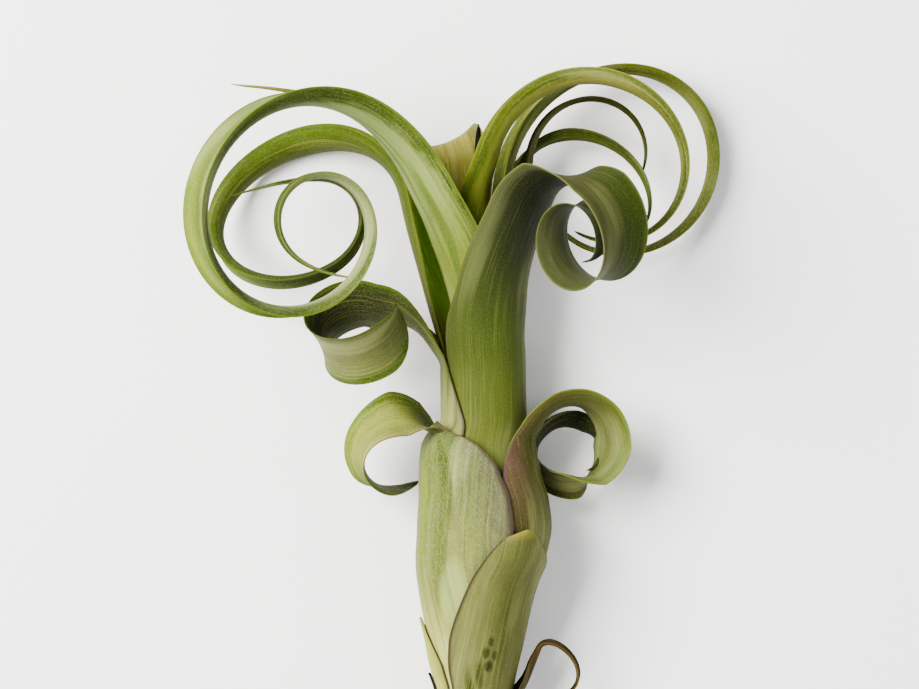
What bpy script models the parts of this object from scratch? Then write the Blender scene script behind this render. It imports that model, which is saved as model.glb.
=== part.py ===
"""Air plant with a slim bulb of wrapped sheaths and leaves that curl into open rings and rolls.

The plant is modelled lying on its back on the plane z = 0. Its axis runs along +Y, from the cut stem
at y = 0 to the leaf tips, +X is its right-hand side and +Z its front. Sizes in the tables below are
millimetres and degrees. Every leaf is one closed solid: a sheath wrapped round the bulb's axis in a
ring of its own, a blade that rises from it, and a curl whose bend radius changes as it turns.
"""
import math
from dataclasses import dataclass

import bpy
import numpy as np

COLLECTION = "air_plant"
MM = 0.001

RING_PITCH = 1.2          # from one wrapped sheath to the next, thickness and gap
SHEATH_THICKNESS = 0.8
BLADE_THICKNESS = 1.2
TIP_THICKNESS = 0.5
MARGIN_SHARE = 0.5        # thickness at a margin, as a share of the thickness at the midrib

SHEATH_POINTS = 13        # across a sheath
BLADE_POINTS = 5          # across a blade
RISE_STEP = 9.0           # length between sections up a blade
CURL_STEP = 22.0          # turn between sections round a curl
SLIDE_FADE = 60.0         # turn in which a curl's drift along its axis dies away

BLEND_LENGTH = 25.0       # length over which a wrapped sheath opens into a blade
CURL_SUBSTEPS = 6         # integration steps between sections round a curl
SHARP_ANGLE = math.radians(50)
ROUGHNESS = 0.6

STEM_SIDES = 14
STEM_COLOUR = (0.16, 0.10, 0.05)
# Radius and height up the stem, from its cut end to its growing point.
STEM_PROFILE = ((3.6, 0), (4.2, 1), (4.3, 50), (3.4, 58), (1.4, 62))

# Height, radius of the outermost ring, and centre x and z of the bulb and the column above it.
BULB = (
    (0, 5.4, -1.4, 12.0),
    (10, 8.2, -1.4, 13.0),
    (27, 12.8, -1.4, 16.0),
    (34, 14.7, -1.8, 17.5),
    (42, 16.4, -1.6, 18.5),
    (50, 18.2, -1.6, 19.5),
    (59, 20.3, -1.0, 20.2),
    (68, 22.8, 1.0, 20.5),
    (76, 23.3, 1.9, 20.5),
    (84, 22.6, 1.7, 20.5),
    (92, 21.4, 0.5, 20.5),
    (100, 20.3, 0.1, 20.5),
    (108, 18.4, 1.8, 20.5),
    (122, 18.4, 1.6, 21.0),
    (150, 18.6, 1.8, 22.0),
    (200, 18.6, 2.0, 23.0),
)


@dataclass
class Leaf:
    """One leaf.

    ring: place of its sheath in the bulb, counted inwards. side: azimuth it grows on, 0 right, 90 front,
    180 left. sheath: rows of height and the azimuths of its two margins. rise: spine points above the
    sheath. axis: rows of turned angle and the across direction of the curl there.
    bends: rows of turned angle and bend radius.
    lamina: rows of share of the blade's length, width and channel angle.
    """
    name: str
    ring: float
    side: float
    sheath: tuple
    colour: tuple
    rise: tuple = ()
    axis: tuple = ()
    bends: tuple = ()
    lamina: tuple = ()


LEAVES = (
    Leaf("basal_leaf_left", 0, 187, colour=(0.10, 0.08, 0.04),
         sheath=((4, 140, 245), (14, 155, 232), (22, 170, 215), (27, 176, 202), (31.5, 181, 188))),
    Leaf("basal_leaf_right", 0, -8, colour=(0.12, 0.12, 0.05),
         sheath=((4, -70, 60), (12, -60, 42), (20, -42, 26)),
         rise=((13.2, 28, 17), (15.6, 34, 17.5), (17.5, 39, 18)),
         axis=((0, 0, 0, -1), (60, 0.2, 0.5, -0.84)),
         bends=((0, 3), (80, 5), (120, 12), (180, 9), (230, 6), (270, 5)),
         lamina=((0, 10, 70), (0.22, 6, 60), (0.34, 2.6, 120), (1, 1.6, 120))),
    Leaf("lower_left_sheath", 1, 178, colour=(0.42, 0.42, 0.17),
         sheath=((6, 136, 244), (18, 137, 240), (27, 136, 236), (34, 137, 230), (38, 146, 220),
                 (43, 160, 204), (48.5, 176, 181))),
    Leaf("front_sheath", 1, 40, colour=(0.30, 0.31, 0.12),
         sheath=((8, -62, 132), (18, -60, 130), (30, -56, 128), (41, -44, 123), (47, -32, 115),
                 (52, -20, 107), (59, -2, 98), (65, 17, 91), (70, 34, 83), (73.5, 45, 73),
                 (75.5, 53, 57))),
    Leaf("left_sheath_leaf", 2, 172, colour=(0.38, 0.42, 0.22),
         sheath=((12, 62, 250), (25, 62, 250), (40, 63, 250), (55, 65, 249), (65, 66, 248),
                 (75, 67, 246), (85, 69, 242), (94, 75, 234), (99, 87, 225), (102, 101, 217),
                 (104.5, 130, 209)),
         rise=((-16.2, 105.5, 21.5), (-17.2, 106.5, 22.5)),
         axis=((0, 0, -0.1, 1), (45, 0.1, -0.7, 0.7), (110, 0.32, -0.5, 0.8), (160, 0.45, -0.3, 0.84),
               (195, 0.68, -0.25, 0.69), (230, 0.7, -0.15, 0.7)),
         bends=((0, 10), (50, 13), (90, 12), (130, 11), (165, 12), (200, 19), (222, 40), (227, 40)),
         lamina=((0, 15, 70), (0.2, 18, 50), (0.6, 15, 50), (1, 1.5, 40))),
    Leaf("right_sheath_leaf", 3, 16, colour=(0.30, 0.30, 0.12),
         sheath=((16, -110, 80), (28, -110, 80), (40, -110, 80), (55, -110, 79), (65, -109, 78),
                 (75, -108, 77), (85, -103, 74), (94, -80, 66), (99, -55, 60), (103, -25, 52)),
         rise=((16.6, 104.6, 25.4), (18, 107, 25.6)),
         axis=((0, 0.28, 0.1, -0.95), (25, -0.1, -0.2, -0.97), (57, -0.3, -0.2, -0.93),
               (100, -0.55, -0.1, -0.83), (147, -0.68, 0.05, -0.73), (190, -0.3, 0.2, -0.93),
               (215, 0.1, -0.2, -0.97), (240, 0.4, -0.55, -0.73), (285, 0.1, -0.7, -0.7), (330, 0.1, 0, -1),
               (375, 0.3, -0.2, -0.93), (420, 0.1, -0.7, -0.7), (465, -0.2, -0.5, -0.84),
               (510, -0.5, -0.1, -0.86)),
         bends=((0, 13.5), (50, 13.5), (70, 11), (100, 13), (150, 13.5), (175, 12), (200, 10), (225, 8),
                (240, 16), (265, 17), (290, 11), (330, 7), (360, 12), (420, 11), (450, 11), (510, 8),
                (555, 5)),
         lamina=((0, 20, 90), (0.25, 17, 50), (0.55, 15, 50), (0.75, 11, 50), (0.9, 7, 50), (1, 1.5, 40))),
    Leaf("left_roll_leaf", 4, 178, colour=(0.36, 0.38, 0.20),
         sheath=((22, 105, 252), (40, 105, 252), (60, 105, 252), (75, 106, 252), (90, 108, 250),
                 (100, 111, 248), (110, 124, 242), (118, 138, 234), (124, 152, 224)),
         rise=((-14, 129.2, 21), (-18, 134.6, 21), (-24.5, 139, 21), (-33, 141, 21.5)),
         axis=((0, -0.3, 0.68, 0.67),),
         bends=((0, 13), (60, 13), (120, 14), (200, 12.8), (260, 12.4), (310, 12.4)),
         lamina=((0, 16, 90), (0.3, 19.5, 40), (0.8, 20, 30), (1, 1.5, 30))),
    Leaf("front_leaf", 5, 70, colour=(0.20, 0.26, 0.06),
         sheath=((26, -60, 165), (40, -60, 165), (60, -60, 165), (75, -58, 165), (90, -55, 165),
                 (100, -50, 165), (110, -46, 165), (122, -43, 160)),
         rise=((5, 132, 33.5), (5.4, 142, 34.8), (6.6, 150, 36.3), (10, 161.6, 39.5), (14, 171.8, 44)),
         axis=((0, 0.7, 0, -0.7), (35, 0.58, -0.2, -0.79), (65, 0.62, 0.1, -0.77), (95, 0.66, 0.26, -0.7),
               (200, 0.66, 0.2, -0.72), (500, 0.68, 0.1, -0.73)),
         bends=((0, 16), (60, 17.5), (150, 16), (240, 13), (330, 11.5), (420, 9.5), (500, 8.5), (600, 8.5)),
         lamina=((0, 28, 130), (0.13, 27, 90), (0.27, 27, 50), (0.45, 23, 40), (0.7, 16, 40), (0.9, 10, 40),
                 (1, 1.5, 30))),
    Leaf("upper_left_leaf", 6, 115, colour=(0.35, 0.40, 0.22),
         sheath=((30, 98, 205), (50, 98, 205), (75, 98, 205), (100, 98, 190), (118, 98, 165),
                 (130, 99, 160), (139, 100, 160)),
         rise=((-5, 150, 32), (-10.4, 164, 34.5), (-16.8, 176.6, 38)),
         axis=((0, 0.72, 0.1, 0.7), (90, 0.5, 0.05, 0.86), (300, 0.3, 0, 0.95)),
         bends=((0, 54), (50, 40), (110, 36), (155, 28), (200, 25), (245, 25.5), (290, 24), (335, 18.5),
                (380, 13.5), (425, 12.8), (520, 12.8), (560, 17), (585, 40), (596, 60)),
         lamina=((0, 21, 100), (0.12, 20, 80), (0.28, 18, 110), (0.45, 16, 110), (0.62, 12, 110),
                 (0.78, 8, 100), (0.9, 5, 90), (1, 0.8, 60))),
    Leaf("upper_right_leaf", 7, 108, colour=(0.32, 0.34, 0.12),
         sheath=((40, 60, 150), (60, 60, 150), (80, 60, 150), (100, 62, 148), (120, 70, 144),
                 (140, 78, 138)),
         rise=((-1.8, 158, 29), (-0.3, 173, 28.5), (4, 187.5, 29.5)),
         axis=((0, 0.5, 0, -0.87), (45, 0.33, -0.33, -0.88), (85, 0, -0.4, -0.92), (170, -0.05, 0, -1)),
         bends=((0, 33), (60, 32), (120, 27.5), (170, 23), (220, 20), (258, 24), (272, 24)),
         lamina=((0, 14, 80), (0.2, 14, 100), (0.4, 11, 120), (0.7, 8, 120), (1, 3, 90))),
    Leaf("right_ring_leaf", 8, 36, colour=(0.24, 0.26, 0.08),
         sheath=((50, 0, 95), (75, 0, 95), (100, 0, 88), (120, 0, 76), (140, 4, 68)),
         rise=((8.8, 155, 24.5), (6.5, 166, 22.8), (8, 179, 22)),
         axis=((0, -0.25, 0, -0.97),),
         bends=((0, 39), (50, 39), (90, 31), (130, 24), (180, 28), (240, 30), (290, 24), (330, 18)),
         lamina=((0, 13, 80), (0.15, 13, 100), (0.4, 10, 120), (0.7, 8, 120), (1, 3, 90))),
    Leaf("upper_left_rear_leaf", 7, 212, colour=(0.22, 0.28, 0.05),
         sheath=((40, 168, 250), (60, 168, 250), (80, 168, 250), (100, 168, 250), (118, 170, 250)),
         rise=((-9.5, 128, 17), (-13, 139, 16), (-17, 152, 15.3), (-20.8, 165, 15.5), (-23.2, 175, 16)),
         axis=((0, -0.2, 0.2, 0.95), (90, -0.3, 0.5, 0.81), (300, -0.2, 0.3, 0.93)),
         bends=((0, 18), (50, 23), (80, 31), (110, 34), (150, 23), (180, 16.5), (220, 20), (250, 27),
                (275, 28), (300, 18), (320, 15), (350, 14), (400, 14), (430, 14.5), (442, 60), (456, 120)),
         lamina=((0, 17, 90), (0.25, 18, 90), (0.45, 14, 100), (0.6, 10, 120), (0.75, 7, 100),
                 (1, 0.8, 50))),
    Leaf("right_thin_leaf", 8, -25, colour=(0.08, 0.09, 0.01),
         sheath=((50, -60, -8), (75, -60, -8), (100, -56, -8), (120, -46, -8), (140, -42, -8)),
         rise=((11.5, 158, 19), (13.3, 172, 19.5), (15, 186, 19.5)),
         axis=((0, -0.2, 0, -0.98),),
         bends=((0, 24), (60, 18), (90, 18), (130, 16), (180, 16), (198, 20)),
         lamina=((0, 8, 80), (0.3, 6, 90), (0.7, 5, 90), (1, 1, 60))),
    Leaf("right_rear_leaf", 7, -80, colour=(0.18, 0.22, 0.04),
         sheath=((42, -105, -24), (75, -105, -24), (100, -105, -30), (120, -105, -50), (140, -104, -60)),
         rise=((4.5, 158, 12.5), (7.5, 172, 12), (12, 183, 12.5)),
         axis=((0, -0.2, 0, -0.98), (65, 0, -0.3, -0.95), (150, 0, 0, -1)),
         bends=((0, 13), (60, 19), (100, 25), (150, 18), (180, 11), (195, 11)),
         lamina=((0, 9, 80), (0.4, 9, 100), (0.8, 7, 100), (1, 2, 60))),
    Leaf("centre_back_leaf", 8, 255, colour=(0.30, 0.30, 0.10),
         sheath=((46, 205, 292), (75, 205, 292), (100, 205, 292), (120, 205, 292), (145, 210, 288)),
         rise=((-4, 160, 14.5), (-5, 174, 15), (-6, 185, 16)),
         axis=((0, -0.89, -0.46, 0.05),),
         bends=((0, 7), (120, 7), (200, 9)),
         lamina=((0, 14, 80), (0.35, 15, 50), (0.58, 19, 40), (0.72, 18, 40), (0.86, 11, 50), (1, 1, 60))),
    Leaf("left_thin_leaf", 8, 160, colour=(0.30, 0.32, 0.12),
         sheath=((50, 122, 192), (75, 122, 192), (100, 122, 192), (120, 124, 190), (140, 128, 188)),
         rise=((-8, 155, 23), (-13, 172, 23), (-21, 186, 25), (-31, 196, 27), (-43, 202.5, 29),
               (-59, 206.2, 30), (-74.2, 208, 30)),
         axis=((0, 0.2, 0, 0.98),),
         lamina=((0, 9, 80), (0.35, 6, 90), (0.7, 4.5, 100), (1, 0.8, 60))),
    Leaf("heart_leaf", 10.5, 90, colour=(0.08, 0.08, 0.03),
         sheath=((50, 10, 170), (75, 10, 170), (100, 10, 170), (120, 15, 165), (140, 30, 150)),
         rise=((0, 160, 23), (-0.8, 178, 21.5), (-0.4, 196.5, 21.5)),
         lamina=((0, 8, 90), (0.5, 4, 80), (1, 1.2, 60))),
)


def unit(vector):
    """The vector at length one."""
    return vector / np.linalg.norm(vector)


def bulb_at(height):
    """Radius of the outermost ring and centre of the bulb at a height."""
    rows = np.array(BULB, dtype=float)
    radius, x, z = (np.interp(height, rows[:, 0], rows[:, k]) for k in (1, 2, 3))
    return radius, np.array([x, height, z])


def outward(azimuth):
    """Direction away from the plant's axis at an azimuth."""
    angle = math.radians(azimuth)
    return np.array([math.cos(angle), 0.0, math.sin(angle)])


def across_at(azimuth):
    """Across direction of a leaf that stands at an azimuth."""
    angle = math.radians(azimuth)
    return np.array([math.sin(angle), 0.0, -math.cos(angle)])


def sheath_radius(leaf, height):
    """Radius of the inner face of a leaf's sheath."""
    return bulb_at(height)[0] - leaf.ring * RING_PITCH - SHEATH_THICKNESS


def sheath_rows(leaf):
    """Rows of a leaf's sheath, with one more at each height where the bulb's profile bends."""
    rows = np.array(leaf.sheath, dtype=float)
    heights = [row[0] for row in BULB if rows[0, 0] < row[0] < rows[-1, 0]]
    heights = sorted(set(heights) | set(rows[:, 0]))
    low, high = (np.interp(heights, rows[:, 0], rows[:, k]) for k in (1, 2))
    return list(zip(heights, low, high))


def sheath_spine(leaf):
    """Spine points up a leaf's sheath."""
    points = []
    for height, _, _ in sheath_rows(leaf):
        centre = bulb_at(height)[1]
        points.append(centre + sheath_radius(leaf, height) * outward(leaf.side))
    return points


def curve_through(points, counts):
    """Smooth curve through points, with counts[i] steps in span i; chord lengths set its speed."""
    points = np.array(points, dtype=float)
    knots = np.concatenate([[0], np.cumsum(np.linalg.norm(np.diff(points, axis=0), axis=1))])
    slopes = np.gradient(points, knots, axis=0)
    curve, tangents = [points[0]], [unit(slopes[0])]
    for i, count in enumerate(counts):
        span = knots[i + 1] - knots[i]
        for t in np.linspace(0, 1, count + 1)[1:]:
            a, b, c, d = points[i], span * slopes[i], points[i + 1], span * slopes[i + 1]
            curve.append(a * (2 * t**3 - 3 * t**2 + 1) + b * (t**3 - 2 * t**2 + t)
                         + c * (3 * t**2 - 2 * t**3) + d * (t**3 - t**2))
            tangents.append(unit(a * (6 * t**2 - 6 * t) + b * (3 * t**2 - 4 * t + 1)
                                 + c * (6 * t - 6 * t**2) + d * (3 * t**2 - 2 * t)))
    return curve, tangents


def turned(vector, axis, angle):
    """A vector turned about a unit axis."""
    return (vector * math.cos(angle) + np.cross(axis, vector) * math.sin(angle)
            + axis * np.dot(axis, vector) * (1 - math.cos(angle)))


def axis_at(leaf, angle):
    """Across direction of a leaf's curl after a turned angle."""
    rows = np.array(leaf.axis, dtype=float)
    return unit(np.array([np.interp(angle, rows[:, 0], rows[:, k]) for k in (1, 2, 3)]))


def curl_from(leaf, start, tangent, step):
    """Points, tangents and across directions round a leaf's curl, from where its rise ends."""
    rows = np.array(leaf.bends, dtype=float)
    total = rows[-1, 0]
    first = axis_at(leaf, 0)
    count = max(2, int(round(total / step)))
    slide0 = float(np.dot(tangent, first))
    flat = unit(tangent - slide0 * first)
    point = np.array(start, dtype=float)
    points, tangents, acrosses = [], [], []
    turn = total / (count * CURL_SUBSTEPS)
    for k in range(count * CURL_SUBSTEPS):
        angle = (k + 0.5) * turn
        axis = axis_at(leaf, angle)
        flat = unit(flat - np.dot(flat, axis) * axis)
        flat = turned(flat, axis, math.radians(turn / 2))
        slide = slide0 * math.exp(-angle / SLIDE_FADE)
        direction = slide * axis + math.sqrt(1 - slide**2) * flat
        point = point + direction * math.radians(turn) * np.interp(angle, rows[:, 0], rows[:, 1])
        flat = turned(flat, axis, math.radians(turn / 2))
        if (k + 1) % CURL_SUBSTEPS == 0:
            direction = slide * axis + math.sqrt(1 - slide**2) * flat
            points.append(point)
            tangents.append(direction)
            acrosses.append(unit(axis - np.dot(axis, direction) * direction))
    return points, tangents, acrosses


def smooth(share):
    """Ease from 0 to 1."""
    share = min(1.0, max(0.0, share))
    return share * share * (3 - 2 * share)


def leaf_frames(leaf, rise_step, curl_step):
    """Spine points, tangents and across directions of a leaf, and how many belong to its sheath."""
    wrapped = sheath_spine(leaf)
    rise = [np.array(p, dtype=float) for p in leaf.rise]
    knots = wrapped + rise
    counts = [1] * (len(wrapped) - 1)
    for a, b in zip(knots[len(wrapped) - 1:], knots[len(wrapped):]):
        counts.append(max(1, int(round(np.linalg.norm(b - a) / rise_step))))
    points, tangents = curve_through(knots, counts)
    held = len(wrapped)
    length = np.concatenate([[0], np.cumsum(np.linalg.norm(np.diff(np.array(points), axis=0), axis=1))])
    free = max(1e-6, length[-1] - length[held - 1])
    base = across_at(leaf.side)
    goal = axis_at(leaf, 0) if leaf.axis else base
    acrosses = []
    for i, tangent in enumerate(tangents):
        share = smooth((length[i] - length[held - 1]) / free)
        if i < held:
            acrosses.append(base)
            continue
        mixed = base + (goal - base) * share
        acrosses.append(unit(mixed - np.dot(mixed, tangent) * tangent))
    if leaf.bends:
        more = curl_from(leaf, points[-1], tangents[-1], curl_step)
        points, tangents, acrosses = points + more[0], tangents + more[1], acrosses + more[2]
    return np.array(points), np.array(tangents), np.array(acrosses), held


def leaf_sections(leaf, rise_step=RISE_STEP, curl_step=CURL_STEP,
                  sheath_points=SHEATH_POINTS, blade_points=BLADE_POINTS):
    """Sections of a leaf, each a pair of point rows: its inner face and its outer face."""
    points, tangents, acrosses, held = leaf_frames(leaf, rise_step, curl_step)
    length = np.concatenate([[0], np.cumsum(np.linalg.norm(np.diff(points, axis=0), axis=1))])
    free = max(1e-6, length[-1] - length[held - 1])
    rows = np.array(leaf.lamina, dtype=float) if leaf.lamina else None
    wrapped = sheath_rows(leaf)
    sections = []
    for i, (point, tangent, across) in enumerate(zip(points, tangents, acrosses)):
        if i < held:
            height, low, high = wrapped[i]
            radius = sheath_radius(leaf, height)
            angles = np.radians(np.linspace(high - leaf.side, low - leaf.side, sheath_points)) * -1
            inward = -outward(leaf.side)
            thickness = SHEATH_THICKNESS
        else:
            share = (length[i] - length[held - 1]) / free
            width = np.interp(share, rows[:, 0], rows[:, 1])
            channel = math.radians(np.interp(share, rows[:, 0], rows[:, 2]))
            blend = smooth(share * free / BLEND_LENGTH)
            _, low, high = leaf.sheath[-1]
            first = np.radians([leaf.side - high, leaf.side - low])
            ends = first * (1 - blend) + np.array([-channel, channel]) / 2 * blend
            radius = (sheath_radius(leaf, leaf.sheath[-1][0]) * (1 - blend)
                      + width / channel * blend)
            angles = np.linspace(ends[0], ends[1], blade_points)
            inward = np.cross(tangent, across)
            thickness = SHEATH_THICKNESS + (BLADE_THICKNESS - SHEATH_THICKNESS) * blend
            thickness = thickness + (TIP_THICKNESS - thickness) * share**1.5
        middle = (angles[0] + angles[-1]) / 2
        spread = np.abs(angles - middle) / max(1e-6, (angles[-1] - angles[0]) / 2)
        thick = thickness * (1 - (1 - MARGIN_SHARE) * spread**2)
        sine, cosine = np.sin(angles)[:, None], np.cos(angles)[:, None]
        inner = point + radius * (sine * across + (1 - cosine) * inward)
        outer = inner + thick[:, None] * (sine * across - cosine * inward)
        sections.append((inner, outer))
    return sections


def strip(faces, row_a, row_b, flip):
    """Faces between two rows of vertices, which may differ in number."""
    if len(row_a) == len(row_b):
        for i in range(len(row_a) - 1):
            quad = (row_a[i], row_b[i], row_b[i + 1], row_a[i + 1])
            faces.append(quad[::-1] if flip else quad)
        return
    i = j = 0
    while i < len(row_a) - 1 or j < len(row_b) - 1:
        next_a = (i + 1) / (len(row_a) - 1)
        next_b = (j + 1) / (len(row_b) - 1)
        if j == len(row_b) - 1 or (i < len(row_a) - 1 and next_a <= next_b):
            face = (row_a[i], row_b[j], row_a[i + 1])
            i += 1
        else:
            face = (row_a[i], row_b[j], row_b[j + 1])
            j += 1
        faces.append(face[::-1] if flip else face)


def leaf_faces(sections):
    """Vertices and faces of the closed solid lofted through a leaf's sections."""
    vertices, rings = [], []
    for inner, outer in sections:
        first = len(vertices)
        vertices.extend(inner)
        vertices.extend(outer)
        count = len(inner)
        rings.append((list(range(first, first + count)), list(range(first + count, first + 2 * count))))
    faces = []
    for (inner_a, outer_a), (inner_b, outer_b) in zip(rings, rings[1:]):
        strip(faces, inner_a, inner_b, flip=False)
        strip(faces, outer_a, outer_b, flip=True)
        faces.append((outer_a[0], outer_b[0], inner_b[0], inner_a[0]))
        faces.append((inner_a[-1], inner_b[-1], outer_b[-1], outer_a[-1]))
    for (inner, outer), flip in ((rings[0], False), (rings[-1], True)):
        for i in range(len(inner) - 1):
            quad = (outer[i], inner[i], inner[i + 1], outer[i + 1])
            faces.append(quad[::-1] if flip else quad)
    return np.array(vertices), faces


def add_material(name, colour):
    """A plain material for one part."""
    material = bpy.data.materials.new(name)
    material.use_nodes = True
    shader = material.node_tree.nodes["Principled BSDF"]
    shader.inputs["Base Color"].default_value = (*colour, 1.0)
    shader.inputs["Roughness"].default_value = ROUGHNESS
    material.diffuse_color = (*colour, 1.0)
    return material


def add_mesh(collection, name, vertices, faces, colour):
    """One named object from vertices in millimetres."""
    mesh = bpy.data.meshes.new(name)
    mesh.from_pydata([tuple(v) for v in vertices * MM], [], faces)
    mesh.update()
    mesh.shade_smooth()
    mesh.set_sharp_from_angle(angle=SHARP_ANGLE)
    mesh.materials.append(add_material(name, colour))
    collection.objects.link(bpy.data.objects.new(name, mesh))


def stem_mesh():
    """Vertices and faces of the stem: its profile turned round the bulb's centre line."""
    rows = STEM_PROFILE
    vertices, faces = [], []
    for radius, height in rows:
        centre = bulb_at(height)[1]
        for k in range(STEM_SIDES):
            vertices.append(centre + radius * outward(360 * k / STEM_SIDES))
    for row in range(len(rows) - 1):
        for k in range(STEM_SIDES):
            n = (k + 1) % STEM_SIDES
            a, b = row * STEM_SIDES, (row + 1) * STEM_SIDES
            faces.append((a + k, b + k, b + n, a + n))
    top = (len(rows) - 1) * STEM_SIDES
    faces.append(tuple(range(STEM_SIDES)))
    faces.append(tuple(range(top, top + STEM_SIDES))[::-1])
    return np.array(vertices), faces


def placed(shapes):
    """The shapes moved so that the plant lies on z = 0 with the centre of its box over the origin."""
    points = np.vstack([vertices for vertices, _ in shapes.values()])
    low, high = points.min(axis=0), points.max(axis=0)
    origin = np.array([(low[0] + high[0]) / 2, (low[1] + high[1]) / 2, low[2]])
    return {name: (vertices - origin, faces) for name, (vertices, faces) in shapes.items()}


def main():
    """Build the plant."""
    for old in list(bpy.data.objects):
        bpy.data.objects.remove(old, do_unlink=True)
    collection = bpy.data.collections.new(COLLECTION)
    bpy.context.scene.collection.children.link(collection)
    shapes = {"stem": stem_mesh()}
    colours = {"stem": STEM_COLOUR}
    for leaf in LEAVES:
        shapes[leaf.name] = leaf_faces(leaf_sections(leaf))
        colours[leaf.name] = leaf.colour
    for name, (vertices, faces) in placed(shapes).items():
        add_mesh(collection, name, vertices, faces, colours[name])


if __name__ == "__main__":
    main()
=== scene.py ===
"""Looks of the air plant: every leaf as a fine loft with its own living colour.

Sizes in the tables are millimetres and degrees, in the plant's own frame: +Y up the bulb's axis from
the cut stem, +X to the right, +Z towards the front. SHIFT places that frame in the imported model.
"""
import math
from dataclasses import dataclass

import bpy
import numpy as np
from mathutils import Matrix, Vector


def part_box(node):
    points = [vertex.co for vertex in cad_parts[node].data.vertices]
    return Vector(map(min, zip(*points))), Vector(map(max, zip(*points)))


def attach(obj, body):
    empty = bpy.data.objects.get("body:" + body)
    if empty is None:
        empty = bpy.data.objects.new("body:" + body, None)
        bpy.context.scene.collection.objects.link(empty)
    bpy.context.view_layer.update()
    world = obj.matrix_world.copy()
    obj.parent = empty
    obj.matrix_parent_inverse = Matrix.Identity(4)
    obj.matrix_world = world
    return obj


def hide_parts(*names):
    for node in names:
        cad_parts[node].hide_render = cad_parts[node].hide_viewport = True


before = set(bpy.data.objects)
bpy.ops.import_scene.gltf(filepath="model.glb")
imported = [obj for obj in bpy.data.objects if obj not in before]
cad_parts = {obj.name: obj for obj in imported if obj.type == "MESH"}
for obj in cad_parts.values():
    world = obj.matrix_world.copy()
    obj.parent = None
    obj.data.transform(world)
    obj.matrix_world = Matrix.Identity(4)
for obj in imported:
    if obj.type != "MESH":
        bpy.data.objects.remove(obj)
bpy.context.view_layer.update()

MM = 0.001

# ---------------------------------------------------------------- shape

RING_PITCH = 1.2          # from one wrapped sheath to the next, thickness and gap
SHEATH_THICKNESS = 0.8
BLADE_THICKNESS = 1.2
TIP_THICKNESS = 0.5
TIP_EASE = 1.5            # how late up a blade its thickness falls to the tip's
THINNEST = 0.12           # thickness of a blade that has no width left
THICK_SHARE = 0.4         # most thickness that each millimetre of width adds to that
MARGIN_SHARE = 0.35       # thickness at a margin, as a share of the thickness at the midrib
LEAST_WIDTH = 0.25
BLEND_LENGTH = 25.0       # length over which a wrapped sheath opens into a blade
SLIDE_FADE = 60.0         # turn in which a curl's drift along its axis dies away
CURL_SUBSTEPS = 2         # integration steps between sections round a curl
POINTS = 25               # across a leaf
SHEATH_STEP = 2.0         # height between sections up a sheath
RISE_STEP = 2.0           # length between sections up a blade
CURL_STEP = 4.0           # turn between sections round a curl
TAPER = 0.07              # share of a blade's length over which it closes to a fine tip
LEAF_CREASE = 55.0        # edges of a leaf sharper than this angle are not smoothed
STEM_CREASE = 50.0

STEM_SIDES = 48
STEM_STEP = 1.5
# Radius and height up the stem, from its cut end to its growing point.
STEM_PROFILE = ((3.6, 0), (4.2, 1), (4.3, 50), (3.4, 58), (1.4, 62))

# Height, radius of the outermost ring, and centre x and z of the bulb and the column above it.
BULB = (
    (0, 5.4, -1.4, 12.0),
    (10, 8.2, -1.4, 13.0),
    (27, 12.8, -1.4, 16.0),
    (34, 14.7, -1.8, 17.5),
    (42, 16.4, -1.6, 18.5),
    (50, 18.2, -1.6, 19.5),
    (59, 20.3, -1.0, 20.2),
    (68, 22.8, 1.0, 20.5),
    (76, 23.3, 1.9, 20.5),
    (84, 22.6, 1.7, 20.5),
    (92, 21.4, 0.5, 20.5),
    (100, 20.3, 0.1, 20.5),
    (108, 18.4, 1.8, 20.5),
    (122, 18.4, 1.6, 21.0),
    (150, 18.6, 1.8, 22.0),
    (200, 18.6, 2.0, 23.0),
)


@dataclass
class Leaf:
    """One leaf.

    ring: place of its sheath in the bulb, counted inwards. side: azimuth it grows on, 0 right, 90 front,
    180 left. sheath: rows of height and the azimuths of its two margins. rise: spine points above the
    sheath. axis: rows of turned angle and the across direction of the curl there.
    bends: rows of turned angle and bend radius.
    lamina: rows of share of the blade's length, width and channel angle.
    """
    name: str
    ring: float
    side: float
    sheath: tuple
    rise: tuple = ()
    axis: tuple = ()
    bends: tuple = ()
    lamina: tuple = ()


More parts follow.
